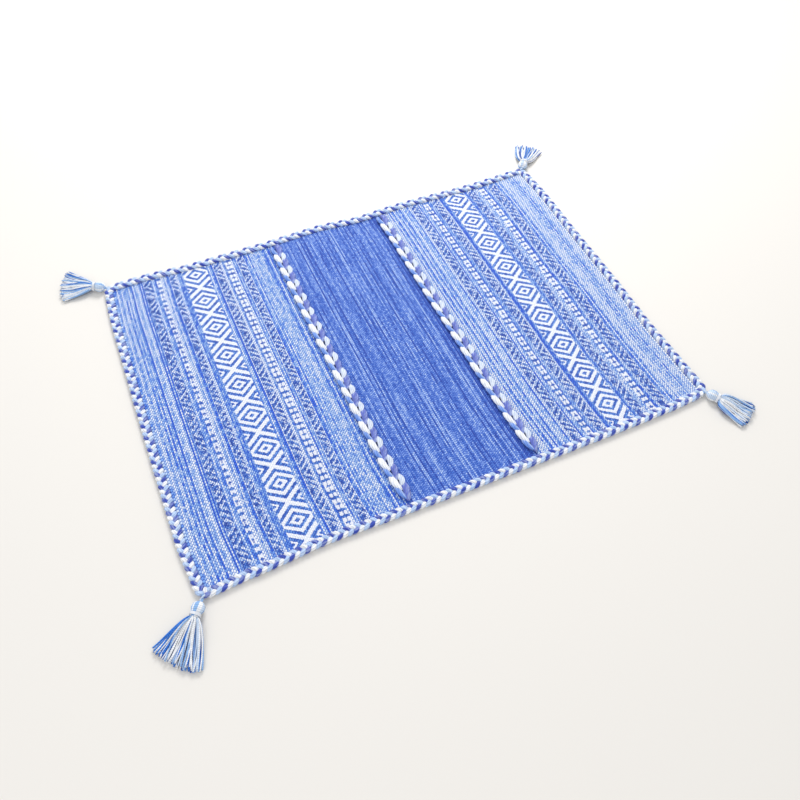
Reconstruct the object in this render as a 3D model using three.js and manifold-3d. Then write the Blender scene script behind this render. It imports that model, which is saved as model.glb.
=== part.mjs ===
// A small flatwoven cotton rug, lying flat.
// One cloth, a three-strand plait along its four edges, two thick heart-shaped braids across it,
// and a tassel with a thread tie at each corner.
// Millimetres, +Z up. The origin is on the underside of the cloth, at its middle.
// +X runs along the rug's length and +Y across it.

import * as THREE from 'three';
import { mergeVertices } from 'three/addons/utils/BufferGeometryUtils.js';
import Module from 'manifold-3d';

const wasm = await Module();
wasm.setup();

// Driving dimensions
const LENGTH = 843;
const WIDTH = 607;
const CLOTH_THICK = 3;
const GAP = 0.3;

const PLAIT_WIDTH = 15.5;
const PLAIT_HEIGHT = 9;
const PLAIT_VALLEY = 0.6; // share of the full half-width that is left between two lobes
const PLAIT_FLANK = 0.45; // height of its fullest width, as a share of its whole height
const PLAIT_FOOT = 0.7; // half-width on the floor, as a share of the half-width above it
const PLAIT_SWING = 0.3; // how far the crown swings from side to side, as a share of the half-width
const PLAIT_END_CLEAR = 0.2; // half the gap between two lengths, where the leaning edges draw them closer
const CORNER_RADIUS = 13; // of the plait's middle line
const CYCLES_LONG = 34;
const CYCLES_SHORT = 27;
const STEPS_PER_CYCLE = 4;

const BRAID_WIDTH = 22;
const BRAID_HEIGHT = 6;
const BRAID_EDGE_HIGH = 1.6; // height of its outer edges above its flat underside
const BRAID_HEARTS = 16;
const BRAID_LEAN = 0.16; // how far each lobe leans along the braid, as a share of one heart's length
const BRAID_LOW = 0.44; // height between two lobes, as a share of the whole height
const BRAID_GROOVE = 0.55; // height of the middle groove, as a share of the whole height
const BRAID_NARROW = 0.72; // half-width between two lobes, as a share of the full half-width
const BRAID_CROWN_AT = 0.5; // where the two crowns run, as a share of the half-width
const BRAID_SOLE = 0.9; // half-width of the flat underside, as a share of the half-width above it
const BRAID_END_CLEAR = 1; // between its ends and the cloth's long edges
const BRAID_PLACES = [
  { name: 'heart_braid_left', x: -107 },
  { name: 'heart_braid_right', x: 103 },
];

// How far the laid rug's edges stand out from a true rectangle, at places along each side
const EDGE_NEAR = [
  { at: -418, out: 7 },
  { at: -340, out: 2.5 },
  { at: -230, out: -3 },
  { at: -120, out: -1 },
  { at: 0, out: 0.5 },
  { at: 220, out: 2 },
  { at: 340, out: 1 },
  { at: 380, out: -1 },
  { at: 418, out: -4 },
];
const EDGE_FAR = [
  { at: -418, out: 1 },
  { at: -350, out: 2.5 },
  { at: -260, out: -2.5 },
  { at: -130, out: -1 },
  { at: -15, out: 3 },
  { at: 60, out: -3 },
  { at: 145, out: 1.5 },
  { at: 290, out: -1.5 },
  { at: 418, out: 3 },
];
const EDGE_LEFT = [
  { at: -300, out: -5 },
  { at: -200, out: 1.5 },
  { at: 0, out: 2 },
  { at: 200, out: 1 },
  { at: 300, out: -3 },
];
const EDGE_RIGHT = [
  { at: -300, out: 3 },
  { at: -230, out: 0.5 },
  { at: -150, out: -1.5 },
  { at: -20, out: 1 },
  { at: 100, out: 0.5 },
  { at: 210, out: 1.5 },
  { at: 300, out: -2.5 },
];
const DRIFT = 6.5; // how far the woven bands lean towards +X at the near edge, and back at the far edge

// Woven bands that stand a little above the plain weave: place along the length and width of each
const RIB_HEIGHT = 0.5;
const RIBS = [
  { x: -345.4, wide: 16.5 },
  { x: -324, wide: 10 },
  { x: -300, wide: 13 },
  { x: -259.8, wide: 44 },
  { x: -218.8, wide: 16 },
  { x: -198.4, wide: 12 },
  { x: -175.2, wide: 15 },
  { x: 173.4, wide: 17 },
  { x: 196.9, wide: 10.7 },
  { x: 217.3, wide: 17 },
  { x: 256.9, wide: 42 },
  { x: 293.4, wide: 17 },
  { x: 315.3, wide: 11.8 },
  { x: 337.7, wide: 18 },
];
const RIB_SLOPE = 2;
const CLOTH_CLEAR = 0.6; // between the cloth's edge and the fullest lobes of the plait
const CLOTH_ROWS = 12;
const CLOTH_PLAIN_STEP = 24;
const CLOTH_CORNER = 4; // the cloth's corners are cut off by this much

// Tassels: the signs of x and y at their corner, where they head, and the place on the plait's round corner
// that they start from, both in degrees. Skew is how much longer the yarns are at the skirt's left-hand side.
// A swell below 1 makes the skirt full right from the neck.
const TASSELS = [
  {
    name: 'near_left', sx: -1, sy: -1, heading: 232, from: 235,
    loop: 5.5, spread: 38, swell: 0.8, length: 92, skew: 5,
  },
  {
    name: 'near_right', sx: 1, sy: -1, heading: 301, from: 300,
    loop: 1.5, spread: 25, swell: 0.4, length: 77, skew: 0,
  },
  {
    name: 'far_left', sx: -1, sy: 1, heading: 151, from: 135,
    loop: 1.5, spread: 36, swell: 0.9, length: 81, skew: -6,
  },
  {
    name: 'far_right', sx: 1, sy: 1, heading: 49, from: 48,
    loop: 1.5, spread: 27, swell: 0.5, length: 77, skew: 0,
  },
];
const TASSEL_AXIS_Z = 8.4;
const TASSEL_SIDES = 10;
// The turned form of loop end, head, waist and collar, measured from the end of the loop
const TASSEL_FORM = [
  { along: 0, wide: 1.7, high: 1.7 },
  { along: 1.5, wide: 6, high: 5.4 },
  { along: 5.5, wide: 9, high: 8 },
  { along: 10.5, wide: 9.3, high: 8.4 },
  { along: 14.5, wide: 7.9, high: 7.4 },
  { along: 16, wide: 6.6, high: 6.6 },
  { along: 19.8, wide: 6.6, high: 6.6 },
  { along: 21.5, wide: 9, high: 7.6 },
  { along: 24.5, wide: 9.2, high: 7.2 },
];
const LOOP_THICK = 1.5;
const WAIST_FIRST = 5; // the waist lies between this row of the form and the next one
// The skirt's layers of yarn: height where they leave the collar and where they end
const SKIRT_LAYERS = [
  { count: 8, rootHigh: -5, endHigh: 0, share: 0.96 },
  { count: 9, rootHigh: 0, endHigh: 2.5, share: 1 },
  { count: 7, rootHigh: 4.6, endHigh: 5, share: 0.9 },
];
const SKIRT_ROOT_WIDE = 7.5;
const SKIRT_ROOT_DEEP = 3; // how far each yarn starts inside the collar
const STRAND_WIDE = 3;
const STRAND_HIGH = 2.6;
const STRAND_STEPS = 4;
const STRAND_TAPER = 0.25;
const STRAND_UNEVEN = 5; // the shortest yarns are cut back by this much
const UNEVEN_STEP = 2.1; // angle from one yarn's cut to the next one's

const TIE_WIDE = 3;
const TIE_THICK = 1;
const TIE_SIDES = 12;

// Smooth value between the rows of a table with the columns "at" and "out"
function between(table, at) {
  const last = table.length - 1;
  const clamped = Math.min(Math.max(at, table[0].at), table[last].at);
  let row = 0;
  while (row < last - 1 && clamped > table[row + 1].at) {
    row += 1;
  }
  const share = (clamped - table[row].at) / (table[row + 1].at - table[row].at);
  const eased = share * share * (3 - 2 * share);
  return table[row].out + (table[row + 1].out - table[row].out) * eased;
}

// Moves a point of the true rectangle to where the laid rug has it
function lay(x, y) {
  const right = (1 + x / (LENGTH / 2)) / 2;
  const far = (1 + y / (WIDTH / 2)) / 2;
  const middle = 4 * right * (1 - right);
  const dx = right * between(EDGE_RIGHT, y) - (1 - right) * between(EDGE_LEFT, y);
  const dy = far * between(EDGE_FAR, x) - (1 - far) * between(EDGE_NEAR, x);
  const drift = -DRIFT * middle * (y / (WIDTH / 2));
  return [x + dx + drift, y + dy];
}

// A closed body from rings of points, each ring listed counter-clockwise seen from the last ring
function loft(rings) {
  const size = rings[0].length;
  const points = rings.flat();
  const positions = points.flat();
  const indices = [];
  for (let ring = 0; ring < rings.length - 1; ring += 1) {
    for (let side = 0; side < size; side += 1) {
      const next = (side + 1) % size;
      const a = ring * size + side;
      const b = ring * size + next;
      indices.push(a, b, b + size);
      indices.push(a, b + size, a + size);
    }
  }
  const lastRing = (rings.length - 1) * size;
  for (let side = 1; side < size - 1; side += 1) {
    indices.push(0, side + 1, side);
    indices.push(lastRing, lastRing + side, lastRing + side + 1);
  }
  const geometry = new THREE.BufferGeometry();
  geometry.setAttribute('position', new THREE.Float32BufferAttribute(positions, 3));
  geometry.setIndex(indices);
  return geometry;
}

function toManifold(geometry) {
  const merged = mergeVertices(geometry, 1e-4);
  return new wasm.Manifold(new wasm.Mesh({
    numProp: 3,
    vertProperties: merged.attributes.position.array,
    triVerts: new Uint32Array(merged.index.array),
  }));
}

function fromManifold(solid) {
  const mesh = solid.getMesh();
  const geometry = new THREE.BufferGeometry();
  geometry.setAttribute('position', new THREE.Float32BufferAttribute(mesh.vertProperties, 3));
  geometry.setIndex(Array.from(mesh.triVerts));
  return geometry;
}

const rug = new THREE.Group();
rug.name = 'cotton_rug';

function addPiece(name, geometry, color, roughness) {
  geometry.computeVertexNormals();
  const material = new THREE.MeshStandardMaterial({ color, roughness, metalness: 0, flatShading: true });
  const mesh = new THREE.Mesh(geometry, material);
  mesh.name = name;
  rug.add(mesh);
}

// The cloth: a grid of points on top, raised along the woven bands, over a flat underside

const clothInset = PLAIT_WIDTH + CLOTH_CLEAR;
const clothHalfLength = LENGTH / 2 - clothInset;
const clothHalfWidth = WIDTH / 2 - clothInset;

function clothColumns() {
  const columns = [];
  for (const x of [clothHalfLength, clothHalfLength - CLOTH_CORNER]) {
    columns.push({ x, rise: 0 }, { x: -x, rise: 0 });
  }
  for (const rib of RIBS) {
    const half = rib.wide / 2;
    columns.push({ x: rib.x - half, rise: 0 });
    columns.push({ x: rib.x - half + RIB_SLOPE, rise: RIB_HEIGHT });
    columns.push({ x: rib.x + half - RIB_SLOPE, rise: RIB_HEIGHT });
    columns.push({ x: rib.x + half, rise: 0 });
  }
  columns.sort((a, b) => a.x - b.x);
  const filled = [];
  columns.forEach((column, index) => {
    filled.push(column);
    const next = columns[index + 1];
    if (next === undefined || column.rise > 0 || next.rise > 0) {
      return;
    }
    const pieces = Math.ceil((next.x - column.x) / CLOTH_PLAIN_STEP);
    for (let piece = 1; piece < pieces; piece += 1) {
      filled.push({ x: column.x + ((next.x - column.x) * piece) / pieces, rise: 0 });
    }
  });
  return filled;
}

function clothRows() {
  const rows = [-clothHalfWidth, clothHalfWidth];
  const room = clothHalfWidth - CLOTH_CORNER;
  for (let row = 0; row <= CLOTH_ROWS; row += 1) {
    rows.push(room * ((2 * row) / CLOTH_ROWS - 1));
  }
  return rows.sort((a, b) => a - b);
}

function clothGeometry() {
  const columns = clothColumns();
  const rows = clothRows();
  const wide = columns.length;
  const lastRow = rows.length - 1;
  const top = [];
  const bottom = [];
  rows.forEach((y, row) => {
    const edgeRow = row === 0 || row === lastRow;
    columns.forEach((column, index) => {
      const edgeColumn = index === 0 || index === wide - 1;
      const pull = edgeRow && edgeColumn ? CLOTH_CORNER / 2 : 0;
      const [x, laidY] = lay(column.x - pull * Math.sign(column.x), y - pull * Math.sign(y));
      const rise = edgeRow ? 0 : column.rise;
      top.push([x, laidY, CLOTH_THICK + rise]);
      bottom.push([x, laidY, 0]);
    });
  });
  const positions = [...top, ...bottom].flat();
  const under = top.length;
  const indices = [];
  for (let row = 0; row < lastRow; row += 1) {
    for (let column = 0; column < wide - 1; column += 1) {
      const a = row * wide + column;
      const b = a + 1;
      const c = b + wide;
      const d = a + wide;
      indices.push(a, b, c, a, c, d);
    }
  }
  const rim = [];
  for (let column = 0; column < wide - 1; column += 1) {
    rim.push(column);
  }
  for (let row = 0; row < lastRow; row += 1) {
    rim.push(row * wide + wide - 1);
  }
  for (let column = wide - 1; column > 0; column -= 1) {
    rim.push(lastRow * wide + column);
  }
  for (let row = lastRow; row > 0; row -= 1) {
    rim.push(row * wide);
  }
  rim.forEach((a, index) => {
    const b = rim[(index + 1) % rim.length];
    indices.push(a, a + under, b + under, a, b + under, b);
  });
  const outline = rim.map((index) => new THREE.Vector2(bottom[index][0], bottom[index][1]));
  for (const [a, b, c] of THREE.ShapeUtils.triangulateShape(outline, [])) {
    indices.push(rim[a] + under, rim[c] + under, rim[b] + under);
  }
  const geometry = new THREE.BufferGeometry();
  geometry.setAttribute('position', new THREE.Float32BufferAttribute(positions, 3));
  geometry.setIndex(indices);
  return mergeVertices(geometry, 1e-4);
}

addPiece('rug_cloth', clothGeometry(), 0x6f96e4, 0.9);

// The border plait: its middle line is a rectangle with round corners.
// The lengths on the short sides turn both corners, and meet the straight lengths on the long sides.

const plaitHalfLength = LENGTH / 2 - PLAIT_WIDTH / 2;
const plaitHalfWidth = WIDTH / 2 - PLAIT_WIDTH / 2;
const quarterArc = (Math.PI / 2) * CORNER_RADIUS;

// Point and outward direction on one side of the border, at a distance along its straight stretch.
// Distances below zero or past the stretch lie on the corners. The side runs counter-clockwise.
function borderPoint(halfRun, halfAcross, turn, along) {
  const straight = 2 * (halfRun - CORNER_RADIUS);
  let angle = 0;
  let run = along - straight / 2;
  if (along < 0) {
    angle = along / CORNER_RADIUS;
    run = -straight / 2;
  }
  if (along > straight) {
    angle = (along - straight) / CORNER_RADIUS;
    run = straight / 2;
  }
  const outward = new THREE.Vector2(Math.sin(angle), -Math.cos(angle));
  const middle = new THREE.Vector2(run, -(halfAcross - CORNER_RADIUS));
  middle.addScaledVector(outward, CORNER_RADIUS);
  const origin = new THREE.Vector2(0, 0);
  return { point: middle.rotateAround(origin, turn), outward: outward.rotateAround(origin, turn) };
}

// Five points round the plait: inner flank, crown, outer flank and the two feet on the floor
function plaitSection(place, phase) {
  const swing = Math.cos(phase);
  const half = PLAIT_WIDTH / 2;
  const outer = half * (PLAIT_VALLEY + (1 - PLAIT_VALLEY) * Math.max(0, swing));
  const inner = half * (PLAIT_VALLEY + (1 - PLAIT_VALLEY) * Math.max(0, -swing));
  const crown = half * PLAIT_SWING * swing;
  const profile = [
    [-inner, PLAIT_HEIGHT * PLAIT_FLANK],
    [crown, PLAIT_HEIGHT],
    [outer, PLAIT_HEIGHT * PLAIT_FLANK],
    [outer * PLAIT_FOOT, 0],
    [-inner * PLAIT_FOOT, 0],
  ];
  return profile.map(([across, high]) => {
    const spot = place.point.clone().addScaledVector(place.outward, across);
    return [...lay(spot.x, spot.y), high];
  });
}

function plaitGeometry(side) {
  const steps = side.cycles * STEPS_PER_CYCLE;
  const turn = (side.quarters * Math.PI) / 2;
  const straight = 2 * (side.halfRun - CORNER_RADIUS);
  const start = PLAIT_END_CLEAR - side.corner;
  const end = straight + side.corner - PLAIT_END_CLEAR;
  const rings = [];
  for (let step = 0; step <= steps; step += 1) {
    const along = THREE.MathUtils.lerp(start, end, step / steps);
    const phase = (2 * Math.PI * step) / STEPS_PER_CYCLE;
    rings.push(plaitSection(borderPoint(side.halfRun, side.halfAcross, turn, along), phase));
  }
  return loft(rings);
}

const longSide = { halfRun: plaitHalfLength, halfAcross: plaitHalfWidth, corner: 0, cycles: CYCLES_LONG };
const shortSide = {
  halfRun: plaitHalfWidth,
  halfAcross: plaitHalfLength,
  corner: quarterArc,
  cycles: CYCLES_SHORT,
};
const PLAITS = [
  { name: 'near', quarters: 0, ...longSide },
  { name: 'right', quarters: 1, ...shortSide },
  { name: 'far', quarters: 2, ...longSide },
  { name: 'left', quarters: 3, ...shortSide },
];
for (const side of PLAITS) {
  addPiece(`border_plait_${side.name}`, plaitGeometry(side), 0x8fa9dc, 0.9);
}

// The heart braids: two rows of lobes that lean together into a chain of hearts

const braidHalfRun = clothHalfWidth - BRAID_END_CLEAR;
const heartPitch = (2 * braidHalfRun) / BRAID_HEARTS;
const braidFloor = CLOTH_THICK + GAP;

function heartSection(middleX, y, lobe) {
  const half = BRAID_WIDTH / 2;
  const lean = heartPitch * BRAID_LEAN;
  const crown = BRAID_HEIGHT * THREE.MathUtils.lerp(BRAID_LOW, 1, lobe);
  const side = half * THREE.MathUtils.lerp(BRAID_NARROW, 1, lobe);
  const profile = [
    [side, BRAID_EDGE_HIGH, lean],
    [half * BRAID_CROWN_AT, crown, 0],
    [0, BRAID_HEIGHT * BRAID_GROOVE, -lean],
    [-half * BRAID_CROWN_AT, crown, 0],
    [-side, BRAID_EDGE_HIGH, lean],
    [-side * BRAID_SOLE, 0, lean],
    [side * BRAID_SOLE, 0, lean],
  ];
  return profile.map(([across, high, shift]) => {
    const spotY = Math.min(Math.max(y + shift, -braidHalfRun), braidHalfRun);
    return [...lay(middleX + across, spotY), braidFloor + high];
  });
}

function heartBraidGeometry(middleX) {
  const steps = BRAID_HEARTS * STEPS_PER_CYCLE;
  const room = braidHalfRun - heartPitch * BRAID_LEAN;
  const rings = [];
  for (let step = 0; step <= steps; step += 1) {
    const y = room * (1 - (2 * step) / steps);
    const lobe = step % 2;
    rings.push(heartSection(middleX, y, lobe));
  }
  return loft(rings);
}

for (const place of BRAID_PLACES) {
  addPiece(place.name, heartBraidGeometry(place.x), 0xc4d2f0, 0.95);
}

// The tassels: a turned head with its loop, and a skirt of yarns that fans out flat on the floor

function ringAround(along, wide, high, sides) {
  const ring = [];
  for (let side = 0; side < sides; side += 1) {
    const angle = (2 * Math.PI * side) / sides;
    ring.push([along, wide * Math.cos(angle), TASSEL_AXIS_Z + high * Math.sin(angle)]);
  }
  return ring;
}

// The lowest side of each ring is level, so the head rests flat on the floor
const facetGrow = 1 / Math.cos(Math.PI / TASSEL_SIDES);

function tasselHead(tassel) {
  const rings = [ringAround(0, LOOP_THICK, LOOP_THICK * facetGrow, TASSEL_SIDES)];
  for (const row of TASSEL_FORM) {
    rings.push(ringAround(tassel.loop + row.along, row.wide, row.high * facetGrow, TASSEL_SIDES));
  }
  return loft(rings);
}

// One yarn lock with three sides, its flat side down
function strand(layer, index, tassel) {
  const root = tassel.loop + TASSEL_FORM[TASSEL_FORM.length - 1].along - SKIRT_ROOT_DEEP;
  const across = (2 * index) / (layer.count - 1) - 1;
  const spread = (tassel.spread - SKIRT_ROOT_WIDE) * layer.share * across;
  const shorten = STRAND_UNEVEN * Math.abs(Math.sin(UNEVEN_STEP * (index + layer.count)));
  const whole = tassel.length - root + tassel.skew * across - shorten;
  const reach = Math.sqrt(whole ** 2 - spread ** 2);
  const rings = [];
  for (let step = 0; step <= STRAND_STEPS; step += 1) {
    const share = step / STRAND_STEPS;
    const eased = Math.sin((share * Math.PI) / 2);
    const along = root + reach * share;
    const side = SKIRT_ROOT_WIDE * across + spread * share ** tassel.swell;
    const rootZ = TASSEL_AXIS_Z + layer.rootHigh - STRAND_HIGH / 2;
    const low = THREE.MathUtils.lerp(rootZ, layer.endHigh, eased);
    const size = 1 - STRAND_TAPER * share;
    rings.push([
      [along, side - (STRAND_WIDE / 2) * size, low],
      [along, side + (STRAND_WIDE / 2) * size, low],
      [along, side, low + STRAND_HIGH * size],
    ]);
  }
  return loft(rings);
}

function tasselGeometry(tassel) {
  let solid = toManifold(tasselHead(tassel));
  for (const layer of SKIRT_LAYERS) {
    for (let index = 0; index < layer.count; index += 1) {
      solid = solid.add(toManifold(strand(layer, index, tassel)));
    }
  }
  return fromManifold(solid);
}

// A flat ring of thread in the waist under the head
function tieGeometry(tassel) {
  const waist = TASSEL_FORM[WAIST_FIRST];
  const middle = tassel.loop + (waist.along + TASSEL_FORM[WAIST_FIRST + 1].along) / 2;
  const flatOfRing = Math.cos(Math.PI / TIE_SIDES);
  const inner = (waist.wide * facetGrow + GAP) / flatOfRing;
  const outer = inner + TIE_THICK;
  const half = TIE_WIDE / 2;
  const section = [
    [inner, -half],
    [outer, -half * 0.7],
    [outer, half * 0.7],
    [inner, half],
  ];
  const positions = [];
  const indices = [];
  for (let side = 0; side < TIE_SIDES; side += 1) {
    const angle = (2 * Math.PI * side) / TIE_SIDES;
    for (const [radius, along] of section) {
      const across = radius * Math.cos(angle);
      positions.push(middle + along, across, TASSEL_AXIS_Z + radius * Math.sin(angle));
    }
    for (let corner = 0; corner < section.length; corner += 1) {
      const a = side * section.length + corner;
      const b = side * section.length + ((corner + 1) % section.length);
      const nextSide = ((side + 1) % TIE_SIDES) * section.length;
      const c = nextSide + ((corner + 1) % section.length);
      const d = nextSide + corner;
      indices.push(a, d, c, a, c, b);
    }
  }
  const geometry = new THREE.BufferGeometry();
  geometry.setAttribute('position', new THREE.Float32BufferAttribute(positions, 3));
  geometry.setIndex(indices);
  return geometry;
}

// The tassel's loop starts at the plait's round corner
function placeAtCorner(geometry, tassel) {
  const radius = CORNER_RADIUS + PLAIT_WIDTH / 2;
  const from = THREE.MathUtils.degToRad(tassel.from);
  const cornerX = tassel.sx * (LENGTH / 2 - radius) + radius * Math.cos(from);
  const cornerY = tassel.sy * (WIDTH / 2 - radius) + radius * Math.sin(from);
  const [x, y] = lay(cornerX, cornerY);
  const heading = THREE.MathUtils.degToRad(tassel.heading);
  const matrix = new THREE.Matrix4().makeRotationZ(heading);
  matrix.setPosition(x + GAP * Math.cos(heading), y + GAP * Math.sin(heading), 0);
  return geometry.applyMatrix4(matrix);
}

for (const tassel of TASSELS) {
  addPiece(`tassel_${tassel.name}`, placeAtCorner(tasselGeometry(tassel), tassel), 0x9db9e6, 0.9);
  addPiece(`tie_${tassel.name}`, placeAtCorner(tieGeometry(tassel), tassel), 0xf2f5fb, 0.8);
}

export default rug;
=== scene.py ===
# %% [markdown]
# # A small flatwoven cotton rug
#
# The rug lies flat on the floor: one weft-faced cotton cloth with stripes and lozenge bands, a three-strand
# plait sewn round its edges, two thick heart braids beside a dark middle panel, and a tassel at each
# corner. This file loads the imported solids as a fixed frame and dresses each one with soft, yarn-level
# geometry. Everything is worked out in millimetres, as a weaver would measure it, and turned to metres
# once.

import bpy
import numpy as np
from mathutils import Matrix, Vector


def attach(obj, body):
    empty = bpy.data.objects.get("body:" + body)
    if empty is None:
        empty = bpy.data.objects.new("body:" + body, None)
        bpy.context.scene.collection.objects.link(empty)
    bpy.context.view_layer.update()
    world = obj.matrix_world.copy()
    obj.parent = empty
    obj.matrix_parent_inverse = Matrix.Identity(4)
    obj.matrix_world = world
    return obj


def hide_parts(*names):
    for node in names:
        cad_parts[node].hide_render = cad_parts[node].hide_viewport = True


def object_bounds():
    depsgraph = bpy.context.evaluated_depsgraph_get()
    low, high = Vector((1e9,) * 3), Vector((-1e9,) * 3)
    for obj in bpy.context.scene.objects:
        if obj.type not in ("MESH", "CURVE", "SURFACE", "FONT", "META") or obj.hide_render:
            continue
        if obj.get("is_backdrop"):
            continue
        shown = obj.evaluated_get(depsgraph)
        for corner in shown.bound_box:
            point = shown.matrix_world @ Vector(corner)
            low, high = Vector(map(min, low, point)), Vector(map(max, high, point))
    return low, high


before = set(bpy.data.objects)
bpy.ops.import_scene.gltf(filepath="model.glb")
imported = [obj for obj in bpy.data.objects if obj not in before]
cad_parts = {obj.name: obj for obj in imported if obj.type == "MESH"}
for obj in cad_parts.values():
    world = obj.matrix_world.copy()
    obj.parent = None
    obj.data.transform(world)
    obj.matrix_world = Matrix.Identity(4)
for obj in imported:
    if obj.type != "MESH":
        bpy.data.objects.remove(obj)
cad_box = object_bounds()
print("solids in the frame:", len(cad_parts))

# %% [markdown]
# ## Where the laid rug really is
#
# A rug on a floor is never a true rectangle: its edges swell and its bands lean a little. The cloth, plait
# and braids are all designed on a true rectangle, and one function moves every point to where the rug lies.
# A displacement modifier could do it too, but one function keeps all the pieces exactly together.

# %% The true rectangle and the laid one
LENGTH = 843.0
WIDTH = 607.0
DRIFT = 6.5

EDGE_NEAR = [
    (-418, 7), (-340, 2.5), (-230, -3), (-120, -1), (0, 0.5), (220, 2), (340, 1), (380, -1), (418, -4),
]
EDGE_FAR = [
    (-418, 1), (-350, 2.5), (-260, -2.5), (-130, -1), (-15, 3), (60, -3), (145, 1.5), (290, -1.5), (418, 3),
]
EDGE_LEFT = [(-300, -5), (-200, 1.5), (0, 2), (200, 1), (300, -3)]
EDGE_RIGHT = [(-300, 3), (-230, 0.5), (-150, -1.5), (-20, 1), (100, 0.5), (210, 1.5), (300, -2.5)]


def between(table, at):
    """Smooth value at a place, from rows of (place, value)."""
    places, values = np.array(table, float).T
    at = np.clip(at, places[0], places[-1])
    row = np.clip(np.searchsorted(places, at, side="right") - 1, 0, len(places) - 2)
    share = (at - places[row]) / (places[row + 1] - places[row])
    eased = share * share * (3 - 2 * share)
    return values[row] + (values[row + 1] - values[row]) * eased


def lay(x, y):
    """Moves points of the true rectangle, in mm, to where the laid rug has them."""
    right = (1 + x / (LENGTH / 2)) / 2
    far = (1 + y / (WIDTH / 2)) / 2
    lean = -DRIFT * 4 * right * (1 - right) * (y / (WIDTH / 2))
    out_x = right * between(EDGE_RIGHT, y) - (1 - right) * between(EDGE_LEFT, y)
    out_y = far * between(EDGE_FAR, x) - (1 - far) * between(EDGE_NEAR, x)
    return x + out_x + lean, y + out_y


corner = lay(np.array([-LENGTH / 2]), np.array([-WIDTH / 2]))
print("near left corner lies at", round(float(corner[0][0]), 1), round(float(corner[1][0]), 1), "mm")

# %% [markdown]
# ## Helpers for materials and meshes
#
# Colours are written as sRGB hex, as a dyer's chart would give them, and turned to linear light once. A
# material is a small tree of nodes, so one function that adds a node with its settings and links is enough.
# A piece is a mesh from points and faces, with values on the face corners that its material reads.

# %% Colour and node helpers
def linear(hex_colour):
    """sRGB hex to linear RGBA."""
    srgb = np.array([int(hex_colour[i : i + 2], 16) for i in (0, 2, 4)]) / 255
    low, high = srgb / 12.92, ((srgb + 0.055) / 1.055) ** 2.4
    return (*np.where(srgb <= 0.04045, low, high).tolist(), 1.0)


def node(tree, kind, inputs=None, **settings):
    """Adds a node; inputs are values, sockets, or nodes whose first output feeds it."""
    made = tree.nodes.new(kind)
    for name, value in settings.items():
        setattr(made, name, value)
    for socket, value in (inputs or {}).items():
        if isinstance(value, bpy.types.Node):
            value = value.outputs[0]
        if isinstance(value, bpy.types.NodeSocket):
            tree.links.new(value, made.inputs[socket])
        else:
            made.inputs[socket].default_value = value
    return made


def fill_ramp(ramp, stops, interpolation="LINEAR"):
    """Sets a colour ramp's stops from rows of (place, hex colour)."""
    ramp.color_ramp.interpolation = interpolation
    elements = ramp.color_ramp.elements
    while len(elements) < len(stops):
        elements.new(1.0)
    for element, (at, colour) in zip(elements, stops):
        element.position = at
        element.color = linear(colour)
    return ramp


def cotton_material(name, roughness, sheen, sheen_roughness):
    """A matt material with the loose fibre's sheen; gives also its node tree and its shader."""
    material = bpy.data.materials.new(name)
    material.use_nodes = True
    shader = material.node_tree.nodes["Principled BSDF"]
    shader.inputs["Roughness"].default_value = roughness
    shader.inputs["IOR"].default_value = 1.53
    shader.inputs["Specular IOR Level"].default_value = 0.25
    shader.inputs["Sheen Weight"].default_value = sheen
    shader.inputs["Sheen Roughness"].default_value = sheen_roughness
    return material, material.node_tree, shader


# %% Mesh helper
def new_piece(name, points, faces, corner_values, material, replaced):
    """A smooth mesh in metres from points in mm. corner_values holds a vector per face corner."""
    mesh = bpy.data.meshes.new(name)
    mesh.from_pydata((np.asarray(points) * 0.001).tolist(), [], faces)
    for label, values in corner_values.items():
        layer = mesh.attributes.new(label, "FLOAT_VECTOR", "CORNER")
        layer.data.foreach_set("vector", np.asarray(values, np.float32).ravel())
    mesh.materials.append(material)
    mesh.shade_smooth()
    piece = bpy.data.objects.new(name, mesh)
    bpy.context.scene.collection.objects.link(piece)
    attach(piece, "root")
    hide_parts(*replaced)
    triangles = sum(len(face) - 2 for face in faces)
    print(name, "has", triangles, "triangles")
    return piece


# %% [markdown]
# ## The cloth: how its bands are set out
#
# The real cloth is weft-faced: thick soft wefts run across the rug and hide the warp, so every row of weft
# can have its own colour. The weaver's plan is a list of bands along the length. Each band here gives where
# it starts, its kind of weave and how pale its yarn is. An image would fix the resolution and need a scan,
# so the bands are a short table and the small figures in them are formulas.

# %% The weaver's plan
PLAIN, LOZENGE, DOTTED, STROKES, DARK = range(5)

CLOTH_END = 405.4  # mm from the middle to where the plait covers the cloth
LEFT_BRAID, RIGHT_BRAID = -107.0, 103.0  # middles of the heart braids, mm

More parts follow.
